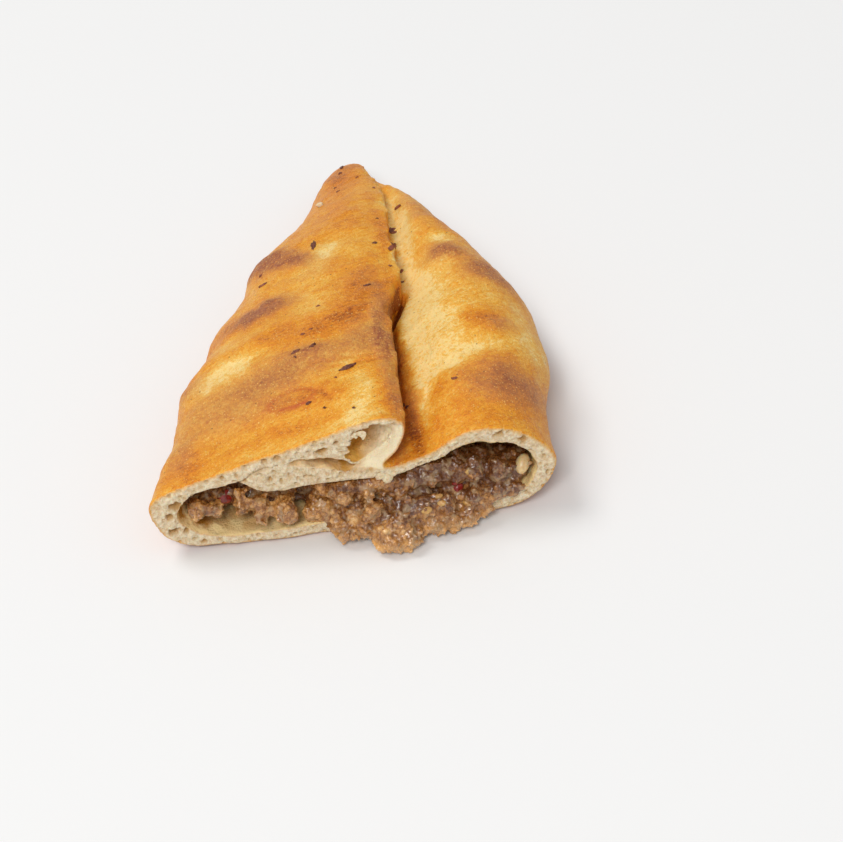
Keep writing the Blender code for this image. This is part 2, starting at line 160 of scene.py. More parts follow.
# Hollows, and dough that was shaded by a fold, stayed pale.
PALE = ((6, 94.5, 14, 7, 55, 0.85), (-28.5, 43, 14, 7.5, 10, 1),
        (-34, 40.5, 9, 4, 30, 0.5), (-1.5, 66, 18, 13, 80, 0.4),
        (-7, 75.5, 11, 6, 20, 0.36), (4, 29.5, 14, 3, 30, 0.6),
        (7, 10, 17, 9, 80, 0.85), (0, 4, 34, 5, 0, 0.34),
        (-22, 3, 32, 4, 0, 0.22), (31, 66, 22, 8, 80, 1.15),
        (27, 52, 36, 9, 88, 0.9), (36, 45, 28, 12, 85, 0.7),
        (33, 33, 15, 7, 0, 0.6), (44, 35.5, 24, 5, 12, 0.62),
        (29.5, 95, 26, 4.5, 90, 0.9), (30.6, 118, 34, 5, 90, 0.9),
        (42, 95, 9, 5, -20, 0.75), (38, 75, 20, 12, 80, 0.4),
        (48, 60, 22, 10, 60, 0.2), (62, 45, 26, 8, 90, 0.4),
        (26, 24, 24, 3, 88, 0.4), (20, 134, 14, 7, 80, 0.15),
        (29.5, 84, 12, 4.5, 85, 0.7), (44, 52, 20, 12, 20, 0.1),
        (8, 22, 9, 6, 0, 0.3), (-30, 58, 14, 9, 20, 0.25))
# Where it took a deeper orange without turning matt; the narrow ones just right of
# the flap's edge also paint the shade of the valley under it.
ORANGE = ((14, 73, 16, 12, 30, 0.22), (10, 58, 24, 10, 75, 0.26),
          (-17, 70, 20, 11, 10, 0.55), (-8, 98, 24, 9, -32, 0.25),
          (-46, 7, 15, 10, 80, 0.24), (46, 9, 36, 10, 5, 0.12),
          (22.5, 12, 24, 5, 92, 0.52), (21.3, 38, 26, 4.5, 88, 0.38),
          (51, 23, 22, 16, -15, 0.4), (8, 140, 50, 22, 85, 0.09),
          (15, 10, 22, 5.5, 92, 0.34), (53, 74, 18, 12, -50, 0.3),
          (42, 87, 12, 9, 5, 0.25), (-15, 7, 26, 9, 0, 0.2),
          (2, 50, 26, 9, 20, 0.2), (25, 103, 34, 4, 92, 0.3),
          (-12, 20, 18, 7, -12, 0.3), (31, 25, 10, 5, 80, 0.3),
          (-12, 52, 26, 9, 10, 0.22), (17, 158, 26, 12, 88, 0.3),
          (12, 118, 30, 12, 85, 0.08), (48, 48, 13, 8, 0, 0.42),
          (-36, 62, 34, 8, 60, 0.14), (19.5, 56, 14, 4, 90, 0.4),
          (45, 108, 20, 8, -70, 0.16), (22, 70, 16, 5, 60, 0.35))
# The deep corner where the flap's edge steps out to the right, sunk in and painted
# darker there as painted shade.
CREVICE = ((24.2, 67.5, 15, 2.5, 67, 1),)
# Fine creases in the crust, as lines of (x, distance from the cut), in mm.
FINE_CREASES = (((-5.5, 33.5), (0, 32.3), (5.5, 32.5), (12.5, 33), (18.5, 34.8)),
                ((1, 29.8), (8, 30), (13, 30.2), (17.5, 31)),
                ((-15, 25), (-9.5, 24.2), (-5, 21), (-1.5, 15.7)))


def activate(piece, *others):
    """Select these pieces only, with the first one active."""
    bpy.ops.object.select_all(action="DESELECT")
    for each in (piece, *others):
        each.select_set(True)
    bpy.context.view_layer.objects.active = piece


def mode(kind):
    """Switch the active piece to EDIT or OBJECT mode."""
    bpy.ops.object.mode_set(mode=kind)


def copy_of(node, name):
    """A merged copy of a CAD node's mesh, alone selected and active."""
    piece = bpy.data.objects.new(name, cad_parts[node].data.copy())
    bpy.context.scene.collection.objects.link(piece)
    activate(piece)
    piece.data.materials.clear()
    bpy.ops.mesh.customdata_custom_splitnormals_clear()
    mode("EDIT")
    bpy.ops.mesh.select_all(action="SELECT")
    bpy.ops.mesh.remove_doubles(threshold=1e-6)
    mode("OBJECT")
    return piece


def apply_modifier(piece, kind, **values):
    """Add one modifier to the active piece, set it and apply it."""
    bpy.ops.object.modifier_add(type=kind)
    modifier = piece.modifiers[-1]
    for name, value in values.items():
        setattr(modifier, name, value)
    bpy.ops.object.modifier_apply(modifier=modifier.name)


def remesh(piece, spacing):
    """Make the active piece one closed skin with an even mesh."""
    apply_modifier(piece, "REMESH", mode="VOXEL", voxel_size=spacing)


def edit_faces(piece, chosen, operator, **values):
    """Run one mesh operator on the chosen faces only."""
    mode("EDIT")
    bpy.ops.mesh.select_mode(type="FACE")
    bpy.ops.mesh.select_all(action="DESELECT")
    mode("OBJECT")
    piece.data.polygons.foreach_set("select", np.asarray(chosen, bool))
    mode("EDIT")
    operator(**values)
    mode("OBJECT")


def read(items, what, width=3):
    """One vector of every vertex or face, as an array."""
    found = np.empty(len(items) * width, np.float32)
    items.foreach_get(what, found)
    return found.reshape(-1, width).astype(float)


def place(piece, points):
    """Move the piece's vertices to these points."""
    piece.data.vertices.foreach_set("co", points.astype(np.float32).ravel())
    piece.data.update()


def in_mm(points):
    """Each point's x, distance behind the cut and height, in mm."""
    return points[:, 0] / MM, (points[:, 1] - CUT_Y) / MM, points[:, 2] / MM


def paint(piece, name, values):
    """Store one number for each vertex under a name that materials read."""
    layer = piece.data.attributes.new(name, "FLOAT", "POINT")
    layer.data.foreach_set("value", np.asarray(values, np.float32))


def ramp(values, start, end):
    """A soft step: 0 as far as start and 1 from end on, which may be lower."""
    t = np.clip((values - start) / (end - start), 0, 1)
    return t * t * (3.0 - 2.0 * t)


def bell(t):
    """1 at nothing, falling off softly on both sides."""
    return np.exp(-t ** 2)


def wander(points, size, seed):
    """Smooth noise of this feature size at each point, from -1 to 1."""
    table = np.random.default_rng(seed).uniform(-1.0, 1.0, 8192)
    scaled = points / size + 100.0
    corner = np.floor(scaled).astype(np.int64)
    part = ramp(scaled - corner, 0, 1)
    found = np.zeros(len(points))
    for dx, dy, dz in np.ndindex(2, 2, 2):
        near = corner + (dx, dy, dz)
        value = table[(near @ (73, 1291, 4057)) % len(table)]
        for axis, step in enumerate((dx, dy, dz)):
            value = value * (part[:, axis] if step else 1.0 - part[:, axis])
        found += value
    return found


def waves(points, *rows):
    """Smooth noise of several kinds: rows of (strength, size in mm, seed)."""
    return sum(strength * wander(points, size * MM, seed)
               for strength, size, seed in rows)


def oval_patches(x, s, rows, edge):
    """How strongly a set of oval patches covers each place in plan.

    A higher edge makes each patch flatter on top and crisper at its rim.
    """
    cover = np.zeros(len(x))
    for cx, cs, length, width, turn, strength in rows:
        a = math.radians(turn)
        along = (x - cx) * math.cos(a) + (s - cs) * math.sin(a)
        across = (s - cs) * math.cos(a) - (x - cx) * math.sin(a)
        oval = (along / (0.5 * length)) ** 2 + (across / (0.5 * width)) ** 2
        cover += strength * np.exp(-0.75 * oval ** edge)
    return cover


def from_line(across, up, line, steps=12, far=9.0):
    """How far each place is from a bent line, in mm, taken in small steps."""
    found = np.full(len(across), far)
    for (a0, b0), (a1, b1) in zip(line, line[1:]):
        for t in np.linspace(0.0, 1.0, steps):
            gap = np.hypot(across - a0 - t * (a1 - a0), up - b0 - t * (b1 - b0))
            found = np.minimum(found, gap)
    return found


def nearest(tree, points):
    """How far each point is from a surface."""
    return np.array([tree.find_nearest(p)[3] for p in points])


def edges_of(face):
    """The face's edges, each with its lower corner first."""
    return [(min(a, b), max(a, b)) for a, b in zip(face, face[1:] + face[:1])]


bread = copy_of("bread", "bread_sheet")

# The knife's face parts the loaf's skin into crust, pocket, slit and bubble,
# so what hangs together behind it is told apart by walking over the edges.
corners = [v.co.copy() for v in bread.data.vertices]
faces = [tuple(p.vertices) for p in bread.data.polygons]
behind = [not all(corners[v].y < CUT_Y + 0.05 * MM for v in f) for f in faces]
over_edge = {}
for i, face in enumerate(faces):
    if behind[i]:
        for edge in edges_of(face):
            over_edge.setdefault(edge, []).append(i)
skins = []
left = {i for i, kept in enumerate(behind) if kept}
while left:
    walk, skin = [left.pop()], []
    while walk:
        i = walk.pop()
        skin.append(faces[i])
        for edge in edges_of(faces[i]):
            for j in over_edge[edge]:
                if j in left:
                    left.remove(j)
                    walk.append(j)
    skins.append(skin)
skins.sort(key=lambda skin: max(corners[v].y for f in skin for v in f))
crust_skin = BVHTree.FromPolygons(corners, skins[-1])
pocket_skin = BVHTree.FromPolygons(corners, skins[-2])
inner_skin = BVHTree.FromPolygons(corners, [f for s in skins[:-2] for f in s])

# The cut's edges are creased, so that they stay sharp while the rest rounds.
mode("EDIT")
bpy.ops.mesh.select_all(action="DESELECT")
bpy.ops.mesh.select_mode(type="EDGE")
bpy.ops.mesh.edges_select_sharp(sharpness=SHARP)
bpy.ops.transform.edge_crease(value=1.0)
mode("OBJECT")
apply_modifier(bread, "SUBSURF", levels=1, render_levels=1)
remesh(bread, VOXEL)

seam_s, seam_x = np.array(SEAM_LINE).T
depth_s, depth_mm = np.array(SEAM_DEPTH).T


def from_seam(points):
    """How far right of the flap's edge each point lies in plan, in mm."""
    x, s, _ = in_mm(points)
    return x - np.interp(s, seam_s, seam_x)


# All but the cut and the flap's edge is rounded off.
points = read(bread.data.vertices, "co")
weights = ramp(points[:, 1] - CUT_Y - 1.5 * MM, 0.0, 6.0 * MM)
weights *= 1.0 - 0.92 * bell(from_seam(points) / 4.0)
rounded = bread.vertex_groups.new(name="rounded")
for i, weight in enumerate(weights):
    rounded.add([i], float(weight), "REPLACE")
apply_modifier(bread, "SMOOTH", factor=0.5, iterations=14, vertex_group="rounded")
apply_modifier(bread, "SMOOTH", factor=0.35, iterations=2)

# Out of sight the mesh is thinned; at the cut and the seam it is made finer.
centres = read(bread.data.polygons, "center")
facing = read(bread.data.polygons, "normal")
depth = centres[:, 1] - CUT_Y
to_crust, to_pocket = nearest(crust_skin, centres), nearest(pocket_skin, centres)
hidden = (to_pocket < to_crust) & (depth > HIDDEN_FROM)
hidden |= (facing[:, 2] < -0.9) & (centres[:, 2] < 0.5 * MM) & (depth > 4 * MM)
edit_faces(bread, hidden, bpy.ops.mesh.decimate, ratio=HIDDEN_SHARE)
centres = read(bread.data.polygons, "center")
edit_faces(bread, centres[:, 1] < CUT_Y + CUT_ZONE, bpy.ops.mesh.subdivide, number_cuts=2)
centres = read(bread.data.polygons, "center")
beside = np.abs(from_seam(centres) - 0.6) < 2.4
beside &= (centres[:, 2] > 8 * MM) & (centres[:, 1] > CUT_Y + CUT_ZONE)
beside &= nearest(crust_skin, centres) < 1.2 * MM
edit_faces(bread, beside, bpy.ops.mesh.subdivide, number_cuts=1)

# What each point of the finished mesh belongs to.
points = read(bread.data.vertices, "co")
normals = read(bread.data.vertex_normals, "vector")
x, s, height = in_mm(points)
to_crust = nearest(crust_skin, points)
to_pocket = nearest(pocket_skin, points)
to_inner = nearest(inner_skin, points)
is_cut = ramp(-normals[:, 1], 0.45, 0.8) * (s < 1.3)
is_lining = (np.minimum(to_pocket, to_inner) < to_crust) * (1.0 - is_cut)
is_crust = (1.0 - is_cut) * (1.0 - is_lining)
upward = ramp(normals[:, 2], -0.1, 0.5)
held = ramp(s, 0, 7)

# Soft ridges and hollows, then the fine swell and wrinkles of the baked skin.
drift_x = x + waves(points, (1.7, 9, 1), (0.9, 3, 6))
drift_s = s + waves(points, (1.7, 9, 2), (0.9, 3, 7))
toast = oval_patches(drift_x, drift_s, TOASTED, edge=1.4)
pale = oval_patches(drift_x, drift_s, PALE, edge=0.9)
orange = oval_patches(drift_x, drift_s, ORANGE, edge=1.1)
pulled = points @ np.array(Matrix.Rotation(math.radians(STREAK_TURN), 3, "Z"))
pulled[:, 0] *= 0.28
wrinkle = waves(pulled, (1.0, 2.6, 8), (0.5, 1.4, 9))
lift = RIDGE * np.clip(toast, 0, 1) - HOLLOW * np.clip(pale, 0, 1)
lift += waves(points, (0.34, 7, 3), (0.14, 2.6, 4)) + 0.20 * wrinkle
lift *= is_crust * upward * (0.2 + 0.8 * held)
creased = np.min([from_line(x, s, line) for line in FINE_CREASES], axis=0)
creased = bell(creased / 0.7) * is_crust * upward
lift -= FINE_DEPTH * creased
points += normals * (lift * MM)[:, None]

# Beside the flap's edge the fold runs down into shadow under a ragged lip.
side = from_seam(points)
fold = bell((side - 1.0) / 0.95) * is_crust * (height > 7.0)
fold_depth = np.interp(s, depth_s, depth_mm)
points[:, 2] -= fold * fold_depth * MM * (0.4 + 0.6 * held)
crevice = oval_patches(x, s, CREVICE, edge=1.6) * is_crust * ramp(side, -0.4, 0.4)
points[:, 2] -= crevice * CREVICE_DEPTH * MM
lip = bell((side + 0.5) / 0.7) * is_crust * (height > 7.0) * held
points[:, 0] += (0.5 + waves(points, (1.1, 5, 10), (0.6, 2.2, 12))) * lip * MM
# The roof over the right of the mouth hangs a little lower at the cut.
roof = bell(to_pocket / (1.7 * MM)) * bell(s / 7.0) * (1.0 - is_crust)
roof *= ramp(x, 22, 30) * ramp(x, 52, 44) * ramp(height, 17, 22)
points[:, 2] -= ROOF_DROP * roof * MM
points[:, 2] = np.maximum(points[:, 2], 0.0)
place(bread, points)

# The knife's face.  Its pores were measured where they show: (x, height,
# width, height of the pore), in mm; finer ones are scattered between them.
PORES = ((-49.5, 18.2, 4, 3.3), (-51.6, 14.6, 2.4, 2.6), (-51.2, 8.6, 3, 3),
         (-47.4, 8.2, 2, 2.5), (-42.5, 3.4, 2, 1.7), (-37.2, 2.2, 1, 1),
         (-35.1, 2.1, 0.8, 0.8), (-22.1, 2.3, 1, 1.1), (-16.2, 2.3, 1.4, 1.3),
         (-35.3, 26.4, 1.5, 2.2), (-31.2, 27, 1.2, 2.2), (-23, 31.2, 1.6, 1.6),
         (-19.6, 31.6, 2.6, 1.5), (-6.7, 32.4, 3.5, 2.9), (-2.3, 34.7, 2, 2),
         (-10.5, 32.7, 1.2, 1), (-13.7, 33, 1.2, 1), (-28.5, 30.1, 1.2, 1),
         (-21.8, 24.3, 1.5, 2.5), (-18.7, 23.2, 1.1, 2), (-13.8, 23.1, 1.1, 2),
         (-10.1, 23.3, 1.5, 1.5), (-16.5, 24.9, 0.8, 1.1), (-7.9, 20.9, 0.8, 1.1),
         (-12.4, 26.1, 0.8, 1), (45.1, 29.6, 2.1, 2.3), (51.7, 26.6, 3.2, 2.2),
         (38.1, 30.5, 0.8, 0.8), (41.5, 31, 0.7, 0.8), (58.6, 13, 1.2, 1.6),
         (22, 23, 0.8, 0.7), (57.8, 19.5, 1, 1.3))
SMALL_PORES, PORE_RADIUS, PORE_SPREAD = 1000, 0.17, 0.60      # radii in mm
# The thin crease from the pocket's corner to the slit, as (x, height).
CREASE = ((-30.9, 24.3), (-29.4, 24.8), (-28.2, 25.6), (-26.8, 27.2), (-24.6, 28),
          (-22, 28.4))
ROLL_X, ROLL_HEIGHT, ROLL_REACH = 7.0, 30.0, 12.5    # the roll in the cut, in mm
ROLL_FLOOR, TORN_DEPTH, CREASE_DEPTH = 22.5, 3.6, 1.6     # mm
RIM = 1.2                    # mm behind the cut that count as its rim
# The bubble's rim is ragged: little teeth of crumb hang in from above and from
# the left.  (x, height, width, height of the stretch, tooth size, way in), in mm.
RAGGED = ((4, 35, 6.5, 4.5, 1.1, 0.25, -1), (0.2, 31, 2.2, 4.8, 1.7, 1, -0.15))


def search_tree(spots):
    """A search tree over these places."""
    tree = kdtree.KDTree(len(spots))
    for i, spot in enumerate(spots):
        tree.insert(spot, i)
    tree.balance()
    return tree


def away_from(tree, places):
    """How far each place is from the nearest one in a tree, in mm."""
    return np.array([tree.find(spot)[2] for spot in places]) / MM


def torn_wall(across, up):
    """How much of the cut is torn: the roll's wall, at its right and below."""
    dx, dz = across - ROLL_X, up - ROLL_HEIGHT
    here = (np.hypot(dx, dz) < ROLL_REACH) & (up > ROLL_FLOOR)
    return here * ramp(dx - 0.8 * dz, -2, 5)


on_cut = np.flatnonzero(is_cut > 0.5)
flattened = points * (1.0, 0.0, 1.0)
flat = flattened[on_cut]
flat_x, flat_z = flat[:, 0] / MM, flat[:, 2] / MM
rim_tree = search_tree(flattened[(is_lining > 0.6) & (s < RIM)])
rim_in = away_from(rim_tree, flat)
rim_out = away_from(search_tree(flattened[(is_crust > 0.6) & (s < RIM)]), flat)
cut_tree = search_tree(flat)
sunk = np.zeros(len(on_cut))
random.seed(11)
holes = [(px, pz, 0.5 * w, 0.5 * h, 0.85 * min(w, h)) for px, pz, w, h in PORES]
while len(holes) < len(PORES) + SMALL_PORES:
    px, _, pz = flat[random.randrange(len(flat))] / MM
    radius = PORE_RADIUS + PORE_SPREAD * random.random() ** 3.4
    tall = random.uniform(0.6, 1.0)
    holes.append((px, pz, radius, radius * tall, 1.1 * radius))
wobble = 1.0 + 0.28 * wander(points[on_cut], 0.9 * MM, 21)
for px, pz, wide, tall, deep in holes:
    close = cut_tree.find_range((px * MM, 0.0, pz * MM), 1.3 * max(wide, tall) * MM)
    for (cx, _, cz), k, _ in close:
        q = math.hypot((cx / MM - px) / wide, (cz / MM - pz) / tall) * wobble[k]
        if q < 1.0:
            sunk[k] = max(sunk[k], deep * (1.0 - q ** 3))
crease = from_line(flat_x, flat_z, CREASE)
torn = waves(points[on_cut], (0.42, 1.6, 22), (0.34, 0.75, 23))
inner = ramp(np.minimum(rim_out, rim_in), 0, 0.7)
# The roll's wall was not cut but torn: it curves in towards the bubble,
# smooth and white, most at its right and below.
wall = torn_wall(flat_x, flat_z) * (rim_in < 6.0)
torn_in = wall * np.clip(rim_out / (rim_out + rim_in + 0.01), 0, 1) ** 1.4
rough_cut = 1.0 - 0.85 * wall
points[on_cut, 1] += (sunk * rough_cut * (0.35 + 0.65 * inner)
                      + torn * rough_cut * inner + TORN_DEPTH * torn_in
                      + CREASE_DEPTH * bell(crease / 0.34)) * MM
# The bubble's own skin begins behind that torn wall.
begun = np.flatnonzero((is_lining > 0.5) & (to_inner < to_pocket) & (s < 6.0))
reach = torn_wall(x[begun], height[begun]) * (1.0 - s[begun] / 6.0)
points[begun, 1] += TORN_DEPTH * reach * MM
for cx, cz, wide, tall, size, in_x, in_z in RAGGED:
    off = np.hypot((x - cx) / wide, (height - cz) / tall)
    teeth = np.flatnonzero((s < RIM) & (is_crust < 0.5) & (off < 1.0))
    if len(teeth):
        rim_gap = away_from(rim_tree, points[teeth] * (1.0, 0.0, 1.0))
        grow = np.clip(wander(points[teeth], size * MM, 29) + 0.1, 0, 1)
        grow *= 1.9 * ramp(rim_gap, 1.7, 0)
        points[teeth, 0] += in_x * grow * MM
        points[teeth, 2] += in_z * grow * MM
# The knife left the whole face a little uneven.
uneven = 0.35 + waves(points, (0.45, 9, 24), (0.2, 3.5, 25))
points[:, 1] += uneven * bell(s / 1.6) * MM
# Everything that was torn or steamed inside has a soft, uneven skin.
soft = waves(points, (0.42, 3, 26), (0.26, 1.2, 27))
soft *= np.where(to_inner < to_pocket, 1.5, 1.0)
points += normals * (soft * is_lining * (0.5 + 0.5 * ramp(s, 0, 1.5)) * MM)[:, None]
place(bread, points)

pore_shade, torn_white, rind = np.zeros((3, len(points)))
# Painted shade: the crumb is painted darker in its pores and torn hollows.
pore_shade[on_cut] = np.clip(sunk / 1.3 + 0.8 * torn * inner, 0.0, 0.9) * rough_cut
torn_white[on_cut] = wall * ramp(rim_out, 0, 0.8)
rind[on_cut] = bell(rim_out / 0.55)
# Painted shade: besides its toasted, orange and pale patches, the crust is browner low
# down and on faces that turn sideways or down, and the fine creases, the fold beside the
# flap's edge and its crevice are painted darker as painted shade.
browning_and_shade = 0.42 + 0.95 * orange - 0.55 * pale + 0.07 * wander(points, 14 * MM, 5)
browning_and_shade += 0.10 * ramp(height, 16, 4) + 0.22 * (1.0 - upward) + 0.06 * wrinkle
browning_and_shade += 0.24 * creased + 0.16 * fold * np.clip(fold_depth, 0.0, 2.0) + 0.75 * crevice
paint(bread, "cut", is_cut * (1.0 - torn_white))
paint(bread, "lining", is_lining * (to_pocket < to_inner))
paint(bread, "inner", np.maximum(is_lining * (to_pocket >= to_inner), torn_white))
paint(bread, "pore_shade", pore_shade)
paint(bread, "rind", rind)
# Juice stains on the pocket's skin, blotched by noise in the material; they grow towards
# the pocket's left end and deeper in, where they also paint its shade.
juice_and_shade = 0.48 * ramp(s, 0.5, 4.5) + 0.5 * ramp(s, 8, 17) + 0.5 * ramp(x, -38, -43)
paint(bread, "juice_and_shade", is_lining * juice_and_shade)
# Painted glow: the right end of the pocket's skin is painted amber, as if lit through its
# thin wall.
paint(bread, "painted_glow", is_lining * ramp(x, 41, 48) * ramp(s, 1.5, 5.5) * 0.35)
# Painted shade: the bubble's skin is painted a dark amber at its left and top, where
# its hollow lies in shade, and the slit's most at its right end, least on upward faces.
amber_shade = ramp(s, -1.2, 1.4) * (1.52 - 0.155 * (x - 2.0) + 0.05 * (height - 31.0))
slit_amber_shade = 0.58 + 0.4 * ramp(x, -12, 2) - 0.2 * ramp(normals[:, 2], 0, 0.5)
amber_shade = np.where((x < -1.2) | (height < 23.6), slit_amber_shade, amber_shade)
amber_shade = np.clip(amber_shade + 0.22 * wander(points, 2.5 * MM, 28), 0.0, 0.95)
paint(bread, "amber_shade", amber_shade * (1.0 - is_cut))
paint(bread, "browning_and_shade", np.clip(browning_and_shade, 0.0, 1.2))
paint(bread, "toast", np.clip(toast, 0, 1) * (1.0 - 0.6 * np.clip(pale, 0, 1)))
# A ring-shaped stain and a dash under it, where juice ran over the crust.
ring = np.hypot((x + 12.5) / 6.6, (s - 20.5) / 3.6)
paint(bread, "stain", 0.8 * bell((ring - 1.0) / 0.13)
      + bell((x + 12.0) / 4.0) * bell((s - 17.3) / 0.9))


# ---- Baked dough: crust, crumb and lining -----------------------------------
# The crust goes from pale dough through gold to orange, and turns a matt
# mauve brown where it toasted, all under a fine grain of tiny blisters, partly
# painted glints; folds and creases carry painted shade.  The knife bares cream
# crumb with painted shade in its pores, and the pocket's own skin is moist and
# stained, with painted shade deeper in, a painted glow at its right end and
# painted amber shade in the bubble and slit.
CRUST_COLOURS = ((0.00, (0.94, 0.68, 0.26)), (0.16, (0.89, 0.51, 0.09)),
                 (0.40, (0.83, 0.352, 0.021)), (0.62, (0.74, 0.240, 0.009)),
                 (0.82, (0.56, 0.160, 0.007)), (1.00, (0.30, 0.062, 0.004)))
TOAST_LIGHT = (0.61, 0.285, 0.108)
TOAST = (0.34, 0.100, 0.036)
CRUMB_LIGHT = (0.88, 0.76, 0.55)
CRUMB_SHADE = (0.70, 0.51, 0.29)
CRUMB_PORE_SHADE = (0.60, 0.36, 0.13)
RIND = (0.74, 0.38, 0.07)
POCKET_SKIN = (1.0, 0.755, 0.365)
JUICE_AND_SHADE = (0.60, 0.235, 0.018)
PAINTED_GLOW_COLOUR = (0.86, 0.50, 0.14)
BUBBLE_SKIN = (1.0, 0.87, 0.60)
AMBER_SHADE = (0.70, 0.36, 0.045)
STAIN = (0.55, 0.10, 0.02)
BLISTER_AND_GLINT = (0.97, 0.62, 0.19)
FRECKLE = (0.22, 0.07, 0.025)


def new_material(name):
    """A node material, with its shader and the place on the object."""
    made = bpy.data.materials.new(name)
    made.use_nodes = True
    nodes = made.node_tree.nodes
    where = nodes.new("ShaderNodeTexCoord").outputs["Object"]
    return made, nodes["Principled BSDF"], where


def add(beside, kind, **values):
    """A shader node in the tree of another one, with its inputs set by name."""
    node = beside.id_data.nodes.new(kind)
    set_inputs(node, **values)
    return node


def noise_at(where, size, detail=2.0, roughness=0.55):
    """Noise whose features are about this many metres across."""
    node = add(where, "ShaderNodeTexNoise", Vector=where, Scale=1.0 / size,
               Detail=detail, Roughness=roughness)
    return node.outputs["Fac"]


def remap(value, low, high, to_low=0.0, to_high=1.0):
    """Stretch a value from one range to another."""
    node = add(value, "ShaderNodeMapRange", Value=value, From_Min=low, From_Max=high,
               To_Min=to_low, To_Max=to_high)
    return node.outputs["Result"]


def combine(first, second, operation="MULTIPLY"):
    """A value and another value or number, multiplied or combined otherwise."""
    node = add(first, "ShaderNodeMath")
    node.operation = operation
    put(node.inputs[0], first)
    put(node.inputs[1], second)
    return node.outputs[0]


def blend(share, first, second):
    """Two colours mixed by a share, each a socket or a plain colour."""
    node = add(share, "ShaderNodeMix")
    node.data_type = "RGBA"
    for socket, value in ((0, share), (6, first), (7, second)):
        put(node.inputs[socket], value)
    return node.outputs[2]


def painted(beside, name):
    """A number painted on the mesh."""
    node = add(beside, "ShaderNodeAttribute")
    node.attribute_name = name
    return node.outputs["Fac"]


def mottled(value, *rows):
    """A value varied by noises, as rows of (noise, how much)."""
    for noise, reach in rows:
        value = combine(value, remap(noise, 0.3, 0.7, -reach, reach), "ADD")
    return value


def relief(shader, *rows):
    """Bump the shader, as rows of (height, depth in mm, strength)."""
    normal = None
    for height, depth, strength in rows:
        node = add(shader, "ShaderNodeBump", Height=height, Distance=depth * MM,
                   Strength=strength)
        if normal:
            put(node.inputs["Normal"], normal)
        normal = node.outputs["Normal"]
    put(shader.inputs["Normal"], normal)


def dots(where, size, radius, share):
    """Small round spots: one in a share of the cells of this size."""
    cells = add(where, "ShaderNodeTexVoronoi", Vector=where, Scale=1.0 / size)
    pick = add(where, "ShaderNodeSeparateColor", Color=cells.outputs["Color"])
    spot = remap(cells.outputs["Distance"], radius, 0.55 * radius)
    return combine(spot, combine(pick.outputs["Red"], share, "LESS_THAN"))


def colour_ramp(value, stops):
    """A colour that follows a value from stop to stop."""
    node = add(value, "ShaderNodeValToRGB", Fac=value)
    elements = node.color_ramp.elements
    while len(elements) < len(stops):
        elements.new(0.5)
    for element, (spot, colour) in zip(elements, stops):
        element.position = spot
        element.color = colour + (1.0,)
    return node.outputs["Color"]


def dress(piece, material):
    """Give a piece its one material and smooth shading."""
    piece.data.materials.clear()
    piece.data.materials.append(material)
    piece.data.polygons.foreach_set("use_smooth", [True] * len(piece.data.polygons))


baked, shader, where = new_material("baked_dough")
# Streaks that run along the pull of the fold.
turned = add(where, "ShaderNodeMapping", Vector=where, Scale=(3.3, 1.0, 1.0),
             Rotation=(0.0, 0.0, math.radians(STREAK_TURN)))
turned.vector_type = "TEXTURE"
streak = noise_at(turned.outputs["Vector"], 0.9 * MM, 3.0, 0.65)
coarse = noise_at(where, 5 * MM, 3.0)
grain = noise_at(where, 1.0 * MM, 3.0, 0.7)
fine = noise_at(where, 0.42 * MM, 2.0)

# The browning with its painted shade, mottled.
brown = mottled(painted(where, "browning_and_shade"),
                (coarse, 0.10), (grain, 0.15), (streak, 0.13), (fine, 0.11))
crust = colour_ramp(brown, CRUST_COLOURS)
toast = combine(painted(where, "toast"), remap(grain, 0.28, 0.72, 0.55, 1.25))
toast = combine(toast, remap(coarse, 0.3, 0.7, 0.8, 1.12))
crust = blend(combine(toast, 0.85, "POWER"), crust, blend(toast, TOAST_LIGHT, TOAST))
crust = blend(combine(painted(where, "stain"), 0.7), crust, STAIN)
# Tiny pale dots, partly blisters and partly painted glints, and a few dark freckles.
blisters_and_glints = combine(dots(where, 1.15 * MM, 0.26, 0.26), dots(where, 0.70 * MM, 0.30, 0.34),
                   "MAXIMUM")
crust = blend(combine(blisters_and_glints, 0.72), crust, BLISTER_AND_GLINT)
crust = blend(combine(dots(where, 2.6 * MM, 0.13, 0.24), 0.75), crust, FRECKLE)

crumb = blend(remap(grain, 0.40, 0.66), CRUMB_LIGHT, CRUMB_SHADE)
# Painted shade in the pores.
crumb = blend(painted(where, "pore_shade"), crumb, CRUMB_PORE_SHADE)
crumb = blend(combine(painted(where, "rind"), 0.8), crumb, RIND)
# Juice stains, with the painted shade deeper in the pocket.
juice_and_shade = combine(painted(where, "juice_and_shade"), remap(coarse, 0.42, 0.58, 0.12, 1.0))
pocket = blend(juice_and_shade, POCKET_SKIN, JUICE_AND_SHADE)
# The painted glow at the pocket's right end.
pocket = blend(painted(where, "painted_glow"), pocket, PAINTED_GLOW_COLOUR)
# Painted amber shade in the bubble and the slit.
bubble = blend(painted(where, "amber_shade"), BUBBLE_SKIN, AMBER_SHADE)
colour = blend(painted(where, "lining"), crust, pocket)
colour = blend(painted(where, "inner"), colour, bubble)
colour = blend(painted(where, "cut"), colour, crumb)

